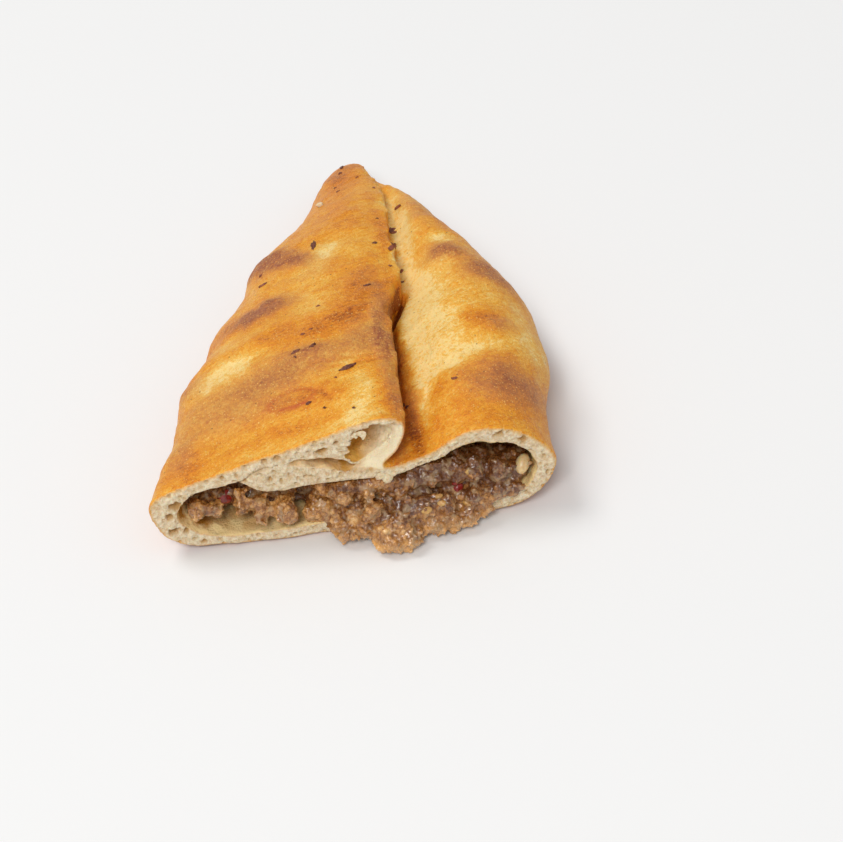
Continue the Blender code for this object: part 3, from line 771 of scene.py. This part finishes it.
# Glossy between the blisters, matt where toasted, dry on the crumb, and wet
# in the pocket.
rough = combine(remap(fine, 0.35, 0.65, 0.34, 0.52), combine(toast, 0.12), "ADD")
for part, value in (("cut", 0.9), ("inner", 0.7), ("lining", 0.22)):
    rough = blend(painted(where, part), rough, (value, value, value))
relief(shader, (streak, 0.28, 0.8), (grain, 0.50, 0.9), (fine, 0.26, 0.9),
       (blisters_and_glints, 0.14, 0.7))
set_inputs(shader, Base_Color=colour, Roughness=rough, Specular_IOR_Level=0.32,
           Subsurface_Weight=0.14, Subsurface_Scale=0.0025,
           Subsurface_Radius=(1.0, 0.45, 0.18))
dress(bread, baked)
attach(bread, "root")
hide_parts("bread")


# ---- Meat filling: the heap of mince -----------------------------------------
# Finely minced, cooked meat in lumps that fall apart at the cut.  The front of
# the CAD solid is broken up into lumps, grains on the lumps and loose crumbs,
# all fused; the part far back in the pocket stays plain.
SEEN = 27.0 * MM             # how far behind the cut the heap can be seen
LUMPS, LUMP_SIZE = 330, 5.2 * MM
GRAINS, GRAIN_SIZE = 5200, 1.35 * MM
CRUMBS = 1500
CRUMB_RADII = (0.32, 1.05)   # mm
COARSE_VOXEL, HEAP_VOXEL = 0.60 * MM, 0.40 * MM
CORE_VOXEL = 1.4 * MM
BALLS = 9                    # in each clod
CRUMB_TRIES = 9000
# Clods that hang apart at the left, a ridge in the middle, and clods that close
# the spill over the bread's edge: (x, height, width, tallness, lift), in mm.
CLODS = ((-43.6, 16.6, 7.6, 9, -1), (-37.6, 15.2, 4.6, 8.4, -0.6),
         (-31, 17.4, 5.4, 11, -0.6), (-25.4, 14, 6.2, 10.4, -0.8),
         (-18.8, 12.8, 8, 10, -0.8), (-9.2, 12.4, 9.6, 9, -0.8),
         (-0.2, 6.2, 7, 6, 1.6), (14.3, 8.2, 6, 5, 1.2), (31.8, 5.3, 6.5, 5, 1.6),
         (15.2, 12, 3.4, 6.5, 0.6), (17, 8.6, 3.2, 5.5, 0.6), (26, 8, 5, 4, 0.6),
         (18.5, 12.8, 5, 4.5, 0.4), (22.5, 13.6, 5.5, 4.5, 0.2),
         (28, 13.8, 5, 5, 0))
SET_BACK = 4.0               # mm the mass behind the left clods is set back
MEAT_COLOURS = ((0.00, (0.12, 0.034, 0.007)), (0.30, (0.34, 0.132, 0.029)),
                (0.62, (0.65, 0.320, 0.092)), (1.00, (0.94, 0.61, 0.26)))
BOUNCE_LIGHT = (0.88, 0.46, 0.13)
FAT = (0.50, 0.345, 0.185)


def keep_side(y, front):
    """Cut the active piece across at y and keep its front or its back."""
    mode("EDIT")
    bpy.ops.mesh.select_all(action="SELECT")
    bpy.ops.mesh.bisect(plane_co=(0.0, y, 0.0), plane_no=(0.0, 1.0, 0.0),
                        use_fill=True, clear_outer=front, clear_inner=not front)
    mode("OBJECT")


def scattered(piece, count, rng):
    """Places and normals evenly strewn over the piece's faces."""
    mesh = piece.data
    mesh.calc_loop_triangles()
    trio = read(mesh.loop_triangles, "vertices").astype(int)
    area = read(mesh.loop_triangles, "area", 1)[:, 0]
    chosen = rng.choice(len(area), count, p=area / area.sum())
    co = read(mesh.vertices, "co")
    u, v = rng.random(count), rng.random(count)
    u, v = np.where(u + v > 1, 1 - u, u), np.where(u + v > 1, 1 - v, v)
    a, b, c = (co[trio[chosen, k]] for k in range(3))
    spots = a + (b - a) * u[:, None] + (c - a) * v[:, None]
    return spots, read(mesh.loop_triangles, "normal")[chosen]


def packed_lumps(points, spots, size, seed):
    """For each point, how far it is from the creases between packed lumps.

    Returns 0 in a crease and 1 well inside a lump, and which lump that is.
    """
    tree = search_tree(spots)
    bent = points + 0.32 * size * np.stack(
        [wander(points, 0.8 * size, seed + k) for k in range(3)], axis=1)
    found = [tree.find_n(p, 2) for p in bent]
    gap = np.array([second[2] - first[2] for first, second in found])
    return ramp(gap, 0, 0.75 * size), np.array([first[1] for first, _ in found])


def mesh_piece(name, points, faces):
    """A new piece with this mesh, alone selected and active."""
    mesh = bpy.data.meshes.new(name)
    mesh.from_pydata(points, [], faces)
    piece = bpy.data.objects.new(name, mesh)
    bpy.context.scene.collection.objects.link(piece)
    activate(piece)
    return piece


def dented_balls(name, spots, radii, rng, squash=0.25):
    """One mesh of small uneven balls, stretched and dented at random."""
    bpy.ops.mesh.primitive_ico_sphere_add(subdivisions=2, radius=1.0)
    pattern = bpy.context.object
    ball = read(pattern.data.vertices, "co")
    trios = read(pattern.data.polygons, "vertices").astype(int)
    bpy.data.objects.remove(pattern)
    count = len(spots)
    turns = rng.normal(size=(count, 3, 3))
    turns, _ = np.linalg.qr(turns)
    turns *= np.sign(np.linalg.det(turns))[:, None, None]
    stretch = 1.0 + rng.uniform(-squash, squash, (count, 1, 3))
    dents = 1.0 + rng.uniform(-0.24, 0.24, (count, len(ball), 1))
    shapes = (ball[None] * dents * stretch) @ turns
    co = shapes * radii[:, None, None] + spots[:, None]
    shift = np.arange(count)[:, None, None] * len(ball)
    return mesh_piece(name, co.reshape(-1, 3), (trios[None] + shift).reshape(-1, 3))


def join(first, *others):
    """Join the others to the first piece, which stays active."""
    activate(first, *others)
    bpy.ops.object.join()


def surface_of(*pieces):
    """A search tree over the pieces' faces, for laying things on them."""
    corners, faces = [], []
    for piece in pieces:
        first = len(corners)
        corners += [v.co.copy() for v in piece.data.vertices]
        faces += [tuple(first + v for v in p.vertices) for p in piece.data.polygons]
    return BVHTree.FromPolygons(corners, faces)


rng = np.random.default_rng(5)
heap = copy_of("meat_filling", "mince_heap")
keep_side(CUT_Y + SEEN, front=True)
# Each clod is a bunch of balls, laid where it shows in the mouth.
bare = surface_of(heap, bread)
eye = Vector(CAMERA_PLACE)
spots, sizes = [], []
for px, pz, wide, tall, lift in CLODS:
    way = (Vector((px * MM, CUT_Y, pz * MM)) - eye).normalized()
    spot = bare.ray_cast(eye, way)[0] - way * lift * MM
    for k in range(BALLS):
        radius = 0.5 * min(wide, tall) * rng.uniform(0.70, 0.92)
        free = np.array((0.5 * wide - radius, 0.25 * wide, 0.5 * tall - radius))
        spots.append(spot + Vector(rng.uniform(-1.0, 1.0, 3) * free) * MM)
        sizes.append(radius)
remesh(heap, COARSE_VOXEL)
points = read(heap.data.vertices, "co")
x, s, _ = in_mm(points)
points[:, 1] += SET_BACK * MM * ramp(x, -4, -9) * ramp(s, 15, 3)
place(heap, points)
join(heap, dented_balls("clods", np.array(spots), np.array(sizes) * MM, rng))
remesh(heap, COARSE_VOXEL)
apply_modifier(heap, "SMOOTH", factor=0.5, iterations=2)
lump_spots, _ = scattered(heap, LUMPS, rng)
points = read(heap.data.vertices, "co")
out = read(heap.data.vertex_normals, "vector")
lumpy, lump = packed_lumps(points, lump_spots, LUMP_SIZE, 40)
proud = rng.uniform(-0.5, 0.5, LUMPS)
x, s, _ = in_mm(points)
swell = 1.5 * (lumpy - 0.75) + proud[lump] * lumpy + 0.5 * wander(points, 3 * MM, 31)
swell = np.where((x > -6.0) & (s < 5.0), np.maximum(swell + 0.45, 0.0), 0.55 * swell)
points += out * (swell * MM)[:, None]
points[:, 2] = np.maximum(points[:, 2], 0.3 * MM)
place(heap, points)

# Loose crumbs, most of them along the spill's lower edge, fused on.
spots, out = scattered(heap, CRUMB_TRIES, rng)
_, s, height = in_mm(spots)
wanted = 0.9 * ramp(s, 0.5, -3.5) * ramp(height, 6.5, 3.5) * (out[:, 1] < 0.3)
kept = np.flatnonzero(rng.random(len(spots)) < 0.09 + wanted)[:CRUMBS]
spots, out = spots[kept], out[kept]
size = CRUMB_RADII[0] + (CRUMB_RADII[1] - CRUMB_RADII[0]) * rng.random(len(kept)) ** 2
spots = spots + out * (rng.uniform(-0.5, 0.55, len(kept)) * size * MM)[:, None]
spots[:, 2] = np.maximum(spots[:, 2], 0.6 * MM)
join(heap, dented_balls("crumbs", spots, size * MM, rng, squash=0.5))
remesh(heap, HEAP_VOXEL)
apply_modifier(heap, "SMOOTH", factor=0.3, iterations=1)

grain_spots, _ = scattered(heap, GRAINS, rng)
points = read(heap.data.vertices, "co")
out = read(heap.data.vertex_normals, "vector")
grainy, grain_at = packed_lumps(points, grain_spots, GRAIN_SIZE, 50)
stand = rng.uniform(-0.22, 0.22, GRAINS)
swell = 0.46 * (grainy - 0.7) + stand[grain_at] * grainy
swell += waves(points, (0.24, 1.3, 33), (0.10, 0.6, 34))
points += out * (swell * MM)[:, None]
points[:, 2] = np.maximum(points[:, 2], 0.2 * MM)
place(heap, points)

# Lumps and grains each have their own tone.  Painted light and shade go on top:
# the creases, the upper part at the right and the parts deeper in are painted darker
# as painted shade, and the clods at the left and the spill's front lighter as painted
# light.
lumpy, lump = packed_lumps(points, lump_spots, LUMP_SIZE, 40)
x, s, height = in_mm(points)
tones = rng.uniform(-1.0, 1.0, LUMPS), rng.uniform(-1.0, 1.0, GRAINS)
tint_and_shade = 0.55 + 0.06 * tones[0][lump] + 0.10 * tones[1][grain_at]
tint_and_shade -= 0.22 * (1.0 - lumpy) + 0.26 * (1.0 - grainy)
tint_and_shade += 0.20 * ramp(x, -3, -9) * ramp(s, 8, 4)
tint_and_shade += 0.16 * ramp(s, 0.5, -2.5) * ramp(height, 12, 7)
tint_and_shade -= 0.34 * ramp(height, 13, 20) * (x > 12) * ramp(s, -0.5, 3.5)
tint_and_shade -= 0.17 * ramp(x, 12, 18) * ramp(height, 8, 13) + 0.10 * ramp(s, 3, 12)
tint_and_shade += waves(points, (0.10, 7, 35), (0.10, 2.2, 38))
paint(heap, "tint_and_shade", np.clip(tint_and_shade, 0, 1))
# Painted light: the spill's lower front edge is painted warm and light, as bounce light
# from the crust below.
bounce_light = ramp(s, 0.5, -3.5) * ramp(height, 7, 2.5)
paint(heap, "bounce_light", bounce_light * (0.65 + 0.35 * wander(points, 3 * MM, 39)))

core = copy_of("meat_filling", "mince_core")
keep_side(CUT_Y + SEEN - 1.0 * MM, front=False)
remesh(core, CORE_VOXEL)
apply_modifier(core, "SMOOTH", factor=0.5, iterations=3)
points = read(core.data.vertices, "co")
paint(core, "tint_and_shade", 0.2 + 0.15 * wander(points, 3 * MM, 36))
paint(core, "bounce_light", np.zeros(len(points)))

cooked, shader, where = new_material("cooked_mince")
coarse = noise_at(where, 3.5 * MM, 3.0)
grain = noise_at(where, 0.8 * MM, 3.0, 0.7)
fine = noise_at(where, 0.35 * MM, 2.0)
# The tint with its painted light and shade, mottled.
tone = mottled(painted(where, "tint_and_shade"), (coarse, 0.13), (grain, 0.19), (fine, 0.12))
colour = colour_ramp(tone, MEAT_COLOURS)
# The painted bounce light at the spill's lower edge.
bounce_share = combine(painted(where, "bounce_light"), remap(grain, 0.3, 0.7, 0.25, 1.0))
colour = blend(bounce_share, colour, BOUNCE_LIGHT)
# Pale, greyish patches of fat and of meat that stayed under its juice.
fat = noise_at(where, 2.4 * MM, 2.0)
colour = blend(remap(fat, 0.52, 0.62, 0.0, 0.5), colour, FAT)
relief(shader, (grain, 0.28, 0.9), (fine, 0.10, 0.8))
set_inputs(shader, Base_Color=colour, Roughness=remap(coarse, 0.38, 0.62, 0.12, 0.36),
           Subsurface_Weight=0.12, Subsurface_Scale=0.0015,
           Subsurface_Radius=(1.0, 0.5, 0.3), Specular_IOR_Level=0.5,
           Coat_Weight=0.75, Coat_Roughness=0.04)
for piece in (heap, core):
    dress(piece, cooked)
    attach(piece, "root")
    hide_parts("meat_filling")


# ---- Bits in the filling: onion, red and yellow pepper ------------------------
# Soft, glossy pieces cooked with the meat.  Each was measured where it shows in
# the mouth of the pocket and is laid on the heap there, partly sunk:
# (x, height, length, width, thickness, turn in degrees), in mm.
ONION_BITS = ((50.8, 18.4, 6.4, 4.2, 4.2, 80), (53.8, 15.6, 3.6, 2.2, 2, 70))
RED_BITS = ((31.9, 11.8, 4, 3, 2.4, 70), (-34.6, 20, 5.4, 4.4, 1.4, 8),
            (31, 13.6, 1.6, 1.2, 1.1, 0))
YELLOW_BITS = ((27.4, 6.2, 3.6, 2.2, 1.8, -15), (23, 4.6, 3, 2, 1.7, 0),
               (34.6, 5.2, 2.8, 1.6, 1.4, -40), (-39.3, 17.9, 2.4, 2, 1.6, 20),
               (26.6, 9.4, 2.6, 1.9, 1.8, 10), (35, 17.6, 2.2, 1.4, 1.4, 60))
SKIN_DEPTH = 0.2             # mm


def soft_lumps(name, rows, sink, uneven, surface=None):
    """Small uneven lumps laid on a surface where they show in the cut.

    Without a surface they hang in the plane of the cut itself.
    """
    made = []
    for k, (px, pz, long, wide, thick, turn) in enumerate(rows):
        spot, out = Vector((px * MM, CUT_Y, pz * MM)), Vector((0.0, -1.0, 0.0))
        if surface:
            spot, out, _, _ = surface.ray_cast(eye, (spot - eye).normalized())
        bpy.ops.mesh.primitive_ico_sphere_add(subdivisions=3, radius=1.0)
        lump = bpy.context.object
        co = read(lump.data.vertices, "co")
        dents = wander(co, 0.8, 60 + k) + 0.45 * wander(co, 0.35, 80 + k)
        co *= 1.0 + (uneven / long ** 0.8 * dents)[:, None]
        co *= np.array((long, thick, wide)) * 0.5 * MM
        spin = np.array(Matrix.Rotation(-math.radians(turn), 3, "Y"))
        face = (eye - spot).normalized().lerp(out, 0.5).normalized()
        tilt = np.array(Vector((0.0, -1.0, 0.0)).rotation_difference(face).to_matrix())
        place(lump, co @ spin.T @ tilt.T + np.array(spot - face * sink * thick * MM))
        made.append(lump)
    join(*made)
    made[0].name = name
    return made[0]


def uneven_skin():
    """A node group: one noise that both mottles a colour and roughens the skin."""
    group = bpy.data.node_groups.new("uneven_skin", "ShaderNodeTree")
    group.interface.new_socket("Vector", in_out="INPUT", socket_type="NodeSocketVector")
    for name in ("Scale", "Roughness", "Low", "High", "Most", "Strength"):
        group.interface.new_socket(name, in_out="INPUT", socket_type="NodeSocketFloat")
    group.interface.new_socket("Share", in_out="OUTPUT", socket_type="NodeSocketFloat")
    group.interface.new_socket("Normal", in_out="OUTPUT", socket_type="NodeSocketVector")
    given = group.nodes.new("NodeGroupInput").outputs
    result = group.nodes.new("NodeGroupOutput")
    noise = add(result, "ShaderNodeTexNoise", Vector=given["Vector"], Detail=3.0,
                Scale=given["Scale"], Roughness=given["Roughness"]).outputs["Fac"]
    bumps = add(result, "ShaderNodeBump", Height=noise, Distance=SKIN_DEPTH * MM,
                Strength=given["Strength"])
    set_inputs(result, Normal=bumps.outputs["Normal"],
               Share=remap(noise, given["Low"], given["High"], 0.0, given["Most"]))
    return group


def skin_of(where, size, roughness, low, high, strength, most=1.0):
    """Place that group in a material: how dark each spot is, and its bumps."""
    node = add(where, "ShaderNodeGroup")
    node.node_tree = skin_group
    set_inputs(node, Vector=where, Scale=1.0 / size, Roughness=roughness, Low=low,
               High=high, Most=most, Strength=strength)
    return node.outputs["Share"], node.outputs["Normal"]


def soft_food(name, light, dark, glow):
    """Wet vegetable flesh, mottled from light to dark."""
    made, shader, where = new_material(name)
    share, normal = skin_of(where, 0.9 * MM, 0.6, 0.35, 0.65, strength=0.6)
    set_inputs(shader, Base_Color=blend(share, light, dark), Normal=normal,
               Roughness=0.24, Subsurface_Weight=glow, Subsurface_Scale=0.002,
               Subsurface_Radius=(1.0, 0.6, 0.3), Coat_Weight=0.5,
               Coat_Roughness=0.06)
    return made


skin_group = uneven_skin()
mouth_surface = surface_of(heap, bread)
for name, rows, sink, uneven, light, dark, glow in (
        ("onion_bits", ONION_BITS, 0.30, 0.22,
         (0.76, 0.59, 0.34), (0.64, 0.44, 0.20), 0.8),
        ("red_pepper_bits", RED_BITS, 0.26, 0.70,
         (0.36, 0.014, 0.006), (0.17, 0.008, 0.004), 0.05),
        ("yellow_pepper_bits", YELLOW_BITS, 0.26, 0.70,
         (0.68, 0.40, 0.13), (0.48, 0.23, 0.06), 0.4)):
    bits = soft_lumps(name, rows, sink, uneven, mouth_surface)
    dress(bits, soft_food(name[:-5], light, dark, glow))
    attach(bits, "root")
    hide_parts("meat_filling")


# ---- Herb flakes baked on the crust --------------------------------------------
# Dried, torn leaf that curled and darkened in the oven.  The larger ones were
# measured one by one; specks lie between them.  Seen from above:
# (x, distance from the cut, length, width, turn in degrees), in mm.
FLAKES = ((2.6, 100.5, 5.2, 1.3, 80), (5, 27.5, 5, 1.5, 15),
          (28.8, 112, 4, 3, 10), (27.9, 101.8, 3.7, 2.8, 60),
          (26.2, 91, 2.3, 1.5, 60), (-14.8, 88.5, 2.7, 1.3, 25),
          (-9.2, 39.3, 2.8, 1.4, 20), (-4, 39.6, 2, 1, 20),
          (32.8, 124.5, 3.6, 1, -30), (15.8, 68.2, 2.2, 1.1, 20),
          (18.4, 164, 2.6, 1.2, 80), (35.5, 23.3, 1.3, 1, -20),
          (-8, 16.6, 1.8, 0.9, 20))
SPECKS = ((28.5, 88, 1.2), (-15, 96.8, 1.2), (-6.2, 47.2, 1.2), (0, 61.5, 1),
          (26.5, 138, 1.1), (15, 143, 1.1), (14.5, 149, 1.2), (20.3, 24.5, 1.3),
          (21, 22.5, 1), (-3.8, 12.5, 0.8), (4.3, 9, 0.9), (21.5, 95, 1),
          (17.5, 159, 1), (24.5, 81, 0.9), (28, 82.5, 0.9), (-9.5, 37, 1),
          (1, 24, 0.7), (24.4, 112, 0.8), (-3.5, 49, 1), (22.3, 151, 0.8))
LEAF_THICKNESS = 0.5         # mm
LEAF = (0.11, 0.024, 0.013)
LEAF_RED = (0.26, 0.066, 0.034)
LEAF_PALE = (0.40, 0.16, 0.075)


def landed(surface, px, ps):
    """The place and normal below (x, distance from the cut), seen from above."""
    above = Vector((px * MM, CUT_Y + ps * MM, 0.08))
    return surface.ray_cast(above, Vector((0.0, 0.0, -1.0)))[:2]


def grid_faces(wide, tall, first):
    """The faces of a grid of points, of which the first has this number."""
    starts = [first + j * wide + i for j in range(tall - 1) for i in range(wide - 1)]
    return [(a, a + 1, a + wide + 1, a + wide) for a in starts]


def curled_flakes(name, rows, surface, seed):
    """Ragged curled scraps, laid on a surface seen from above."""
    rng = np.random.default_rng(seed)
    rows_u, rows_v = 9, 5
    u, v = np.meshgrid(np.linspace(-1, 1, rows_u), np.linspace(-1, 1, rows_v))
    points, faces = [], []
    for px, ps, long, wide, turn in rows:
        spot, out = landed(surface, px, ps)
        ragged = rng.uniform(0.6, 1.15, (2, rows_u))
        reach = np.sqrt(np.clip(1.06 - u ** 2, 0.04, 1.0)) * np.where(
            v < 0, ragged[0][None], ragged[1][None])
        bend = rng.uniform(-0.25, 0.25)
        across = v * reach * 0.5 * wide + bend * wide * u ** 2
        along = u * 0.5 * long * (1.0 + 0.12 * rng.normal(size=u.shape))
        rise = 0.18 + rng.uniform(0.0, 0.25) * (v * reach) ** 2 * wide + rng.uniform(
            -0.05, 0.10) * u ** 2 * long + 0.06 * rng.normal(size=u.shape)
        a = math.radians(turn)
        way = Vector((math.cos(a), math.sin(a), 0.0))
        way = (way - out * way.dot(out)).normalized()
        steps = ((along, way), (across, out.cross(way)), (np.clip(rise, 0.06, 0.9), out))
        co = np.array(spot) + sum(
            step.reshape(-1, 1) * MM * np.array(axis) for step, axis in steps)
        faces += grid_faces(rows_u, rows_v, len(points))
        points += list(map(tuple, co))
    piece = mesh_piece(name, points, faces)
    apply_modifier(piece, "SOLIDIFY", thickness=LEAF_THICKNESS * MM, offset=-1.0)
    return piece


bread_surface = surface_of(bread)
rng = np.random.default_rng(9)
specks = [(px, ps, size, size * rng.uniform(0.5, 0.8), rng.uniform(0, 180))
          for px, ps, size in SPECKS]
herbs = curled_flakes("herb_flakes", list(FLAKES) + specks, bread_surface, seed=9)
dried_leaf, shader, where = new_material("dried_leaf")
each = noise_at(where, 9 * MM, 0.0)
colour = blend(remap(each, 0.42, 0.58), LEAF, LEAF_RED)
share, normal = skin_of(where, 0.7 * MM, 0.7, 0.45, 0.75, strength=0.8, most=0.7)
set_inputs(shader, Base_Color=blend(share, colour, LEAF_PALE), Normal=normal,
           Roughness=0.62)
dress(herbs, dried_leaf)
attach(herbs, "root")
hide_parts("bread")


# ---- Scraps of crumb ------------------------------------------------------------
# Torn shreds of crumb hang in the mouth of the bubble, a soft drop of it hangs
# over the meat, and one white crumb fell on the crust.
# Shreds, as (x, height) of the root and of the tip, and the root's width, in mm.
THREADS = ((4.4, 37.6, 5.4, 34.6, 3.6), (3.1, 36.6, 3.5, 35.3, 1.8))
# Soft drops of crumb, as (x, height, length, width, thickness, turn), in mm.
DROPS = ((11.9, 19.5, 4.4, 3.2, 2.4, 70), (10, 20.3, 2.8, 2.2, 2.2, 20),
         (13.6, 20.6, 2.8, 1.8, 1.8, 10))
CRUMB_ON_CRUST = (8.6, 136.5, 2)         # (x, distance from the cut, length), in mm
THREAD_THICKNESS = 0.32      # mm
TORN_LIGHT, TORN_SHADE = (0.84, 0.70, 0.48), (0.64, 0.45, 0.24)


def torn_threads(name, rows, seed):
    """Thin tapering strips of crumb, from a root to a tip in the cut."""
    rng = np.random.default_rng(seed)
    steps = 7
    points, faces = [], []
    for x0, z0, x1, z1, wide in rows:
        t = np.linspace(0.0, 1.0, steps)
        swing = 0.25 * wide * np.sin(t * rng.uniform(3, 6) + rng.uniform(0, 6))
        half = 0.5 * wide * (1.0 - t) ** 0.8 + 0.10 + 0.08 * rng.normal(size=steps)
        way = np.array((x1 - x0, z1 - z0)) / math.hypot(x1 - x0, z1 - z0)
        faces += grid_faces(3, steps, len(points))
        for k in range(steps):
            for edge in (-1, 0, 1):
                px = x0 + t[k] * (x1 - x0) + (edge * half[k] + swing[k]) * -way[1]
                pz = z0 + t[k] * (z1 - z0) + (edge * half[k] + swing[k]) * way[0]
                back = 0.5 - 0.5 * t[k] + 0.25 * (edge == 0) + 0.1 * rng.normal()
                points.append((px * MM, CUT_Y + back * MM, pz * MM))
    piece = mesh_piece(name, points, faces)
    apply_modifier(piece, "SOLIDIFY", thickness=THREAD_THICKNESS * MM, offset=0.0)
    apply_modifier(piece, "SUBSURF", levels=1, render_levels=1)
    return piece


scraps = torn_threads("crumb_scraps", THREADS, seed=12)
drops = soft_lumps("crumb_drops", DROPS, 0.25, 0.70)
px, ps, long = CRUMB_ON_CRUST
spot, out = landed(bread_surface, px, ps)
rng = np.random.default_rng(13)
fallen = dented_balls("fallen_crumb", np.array([spot + out * 0.5 * MM]),
                      np.array([0.5 * long * MM]), rng, squash=0.3)
join(scraps, drops, fallen)
torn_crumb, shader, where = new_material("torn_crumb")
share, normal = skin_of(where, 0.8 * MM, 0.6, 0.4, 0.7, strength=0.8)
set_inputs(shader, Base_Color=blend(share, TORN_LIGHT, TORN_SHADE), Normal=normal,
           Roughness=0.85, Subsurface_Weight=0.2, Subsurface_Scale=0.002,
           Specular_IOR_Level=0.3)
dress(scraps, torn_crumb)
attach(scraps, "root")
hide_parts("bread")
